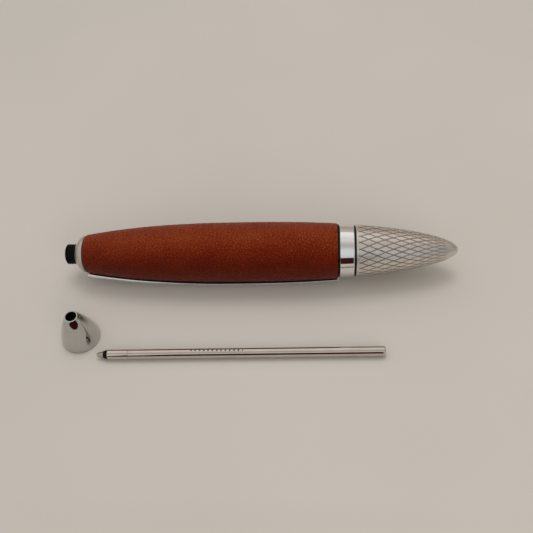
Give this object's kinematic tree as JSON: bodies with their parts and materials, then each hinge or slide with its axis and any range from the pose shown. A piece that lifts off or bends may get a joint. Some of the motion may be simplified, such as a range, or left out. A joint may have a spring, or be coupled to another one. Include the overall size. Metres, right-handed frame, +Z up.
{
  "type": "twist-action ballpoint pen, opened",
  "caption": "Short leather-covered twist ballpoint with a diamond-engraved tail and side clip, shown opened: barrel lying, nose cone standing loose, metal refill beside it.",
  "frame": {"origin": "middle of the footprint of everything shown, on the surface it lies on", "axes": "+X along the pen's axis from the threaded stub to the tail's tip, +Z up, the loose parts lie on the -Y side"},
  "size_m": [0.0956, 0.0336, 0.0146],
  "materials": {
    "leather": "cognac leather, fine pebbled grain, soft satin",
    "polished_chrome": "polished",
    "engraved_chrome": "polished, engraved with crossing helical grooves",
    "nose_chrome": "polished, slightly darker",
    "satin_metal": "satin",
    "nickel_silver": "drawn tube, bright, slightly warm",
    "steel": "turned",
    "brass": "turned",
    "black_plastic": "moulded, semi-matt",
    "white_plastic": "moulded acetal",
    "rubber": "matt",
    "ink": "viscous ink"
  },
  "bodies": {
    "barrel": {"front_bush": "black_plastic", "front_collar": "satin_metal", "barrel_tube": "brass", "leather_sleeve": "leather", "refill_guide": "white_plastic", "clip_ring": "black_plastic", "center_band": "polished_chrome", "tail_washer": "black_plastic", "mechanism_nut": "brass", "rear_bush": "steel", "mechanism_housing": "brass", "retaining_clip": "steel"},
    "tail": {"tail_shell": "engraved_chrome", "tail_bush": "brass", "cam_sleeve": "brass", "friction_oring": "rubber"},
    "carrier": {"refill_carrier": "white_plastic", "cam_pin": "steel"},
    "clip": {"pocket_clip": "polished_chrome"},
    "nose": {"nose_cone": "nose_chrome", "nose_insert": "brass"},
    "refill": {"refill_point": "nickel_silver", "refill_ball": "steel", "refill_adapter": "black_plastic", "refill_sleeve": "nickel_silver", "refill_tube": "nickel_silver", "refill_ink": "ink"}
  },
  "joints": [
    {"name": "tail_twist", "type": "hinge", "parent": "barrel", "child": "tail", "pos_m": [0.023, 0.0095, 0.0073], "axis": [1, 0, 0], "range_deg": [0, 150]},
    {"name": "carrier_travel", "type": "slide", "parent": "barrel", "child": "carrier", "axis": [-1, 0, 0], "range_m": [0, 0.0045]},
    {"name": "clip_flex", "type": "hinge", "parent": "barrel", "child": "clip", "pos_m": [0.01926, 0.00524, 0.00239], "axis": [0, -0.7547, 0.6561], "range_deg": [0, 2], "stiffness_Nm_per_rad": 0.2, "springref_deg": -1.15},
    {"name": "nose_lift", "type": "slide", "parent": "barrel", "child": "nose", "axis": [0, 0, 1], "range_m": [0, 0.03]},
    {"name": "refill_lift", "type": "slide", "parent": "barrel", "child": "refill", "axis": [0, 0, 1], "range_m": [0, 0.03]}
  ],
  "couplings": [
    {"joint": "tail_twist", "follows": "carrier_travel", "rad_per_m": 581.78}
  ]
}
